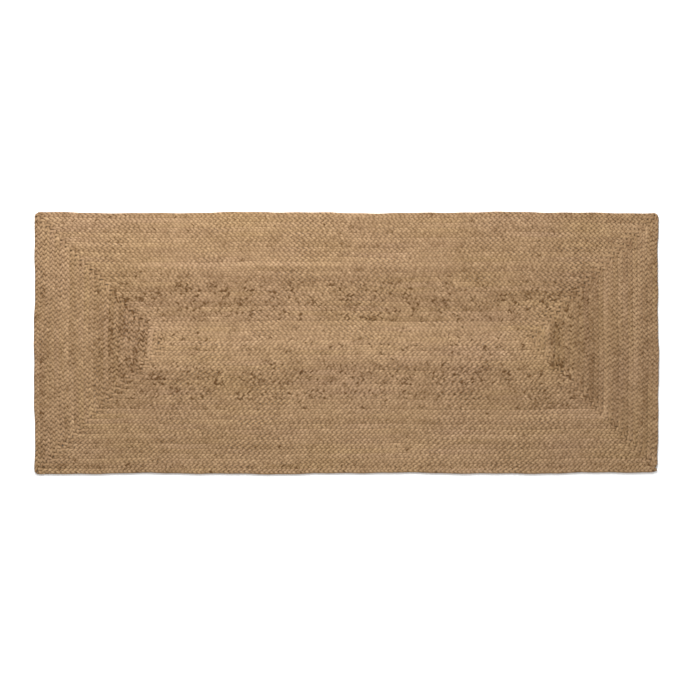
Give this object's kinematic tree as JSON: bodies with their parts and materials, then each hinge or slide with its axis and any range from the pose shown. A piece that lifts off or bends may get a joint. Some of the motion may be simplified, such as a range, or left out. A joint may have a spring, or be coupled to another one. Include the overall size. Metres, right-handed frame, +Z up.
{
  "type": "braided runner rug",
  "caption": "Rectangular braided jute runner: one flat plait wound in a rectangular spiral, each lap sewn edge to edge to the next.",
  "frame": {"origin": "centre of the underside, on the floor", "axes": "+X along the rug's length, +Y across its width, +Z up through its thickness"},
  "size_m": [1.8294, 0.7652, 0.009],
  "materials": {
    "jute_tan": "matte three-strand jute plait, golden tan",
    "jute_light": "matte three-strand jute plait, light straw",
    "jute_brown": "matte three-strand jute plait, brown with dark bark flecks",
    "jute_pale": "matte three-strand jute plait, pale tan",
    "sewing_thread": "matte twisted jute twine"
  },
  "bodies": {
    "root": {"centre_strip": "jute_pale", "lap_01": "jute_pale", "lap_02": "jute_pale", "lap_03": "jute_pale", "lap_04": "jute_pale", "lap_05": "jute_pale", "lap_06": "jute_brown", "lap_07": "jute_brown", "lap_08": "jute_brown", "lap_09": "jute_brown", "lap_10": "jute_brown", "lap_11": "jute_brown", "lap_12": "jute_brown", "lap_13": "jute_brown", "lap_14": "jute_brown", "lap_15": "jute_light", "lap_16": "jute_light", "lap_17": "jute_light", "lap_18": "jute_light", "lap_19": "jute_tan", "lap_20": "jute_tan", "lap_21": "jute_tan", "lap_22": "jute_tan", "lap_23": "jute_tan", "lap_24": "jute_tan", "lap_25": "jute_tan", "lap_26": "jute_tan", "tail_end": "jute_tan", "seam_01": "sewing_thread", "seam_02": "sewing_thread", "seam_03": "sewing_thread", "seam_04": "sewing_thread", "seam_05": "sewing_thread", "seam_06": "sewing_thread", "seam_07": "sewing_thread", "seam_08": "sewing_thread", "seam_09": "sewing_thread", "seam_10": "sewing_thread", "seam_11": "sewing_thread", "seam_12": "sewing_thread", "seam_13": "sewing_thread", "seam_14": "sewing_thread", "seam_15": "sewing_thread", "seam_16": "sewing_thread", "seam_17": "sewing_thread", "seam_18": "sewing_thread", "seam_19": "sewing_thread", "seam_20": "sewing_thread", "seam_21": "sewing_thread", "seam_22": "sewing_thread", "seam_23": "sewing_thread", "seam_24": "sewing_thread", "seam_25": "sewing_thread", "seam_26": "sewing_thread", "tail_seam": "sewing_thread"}
  },
  "joints": []
}
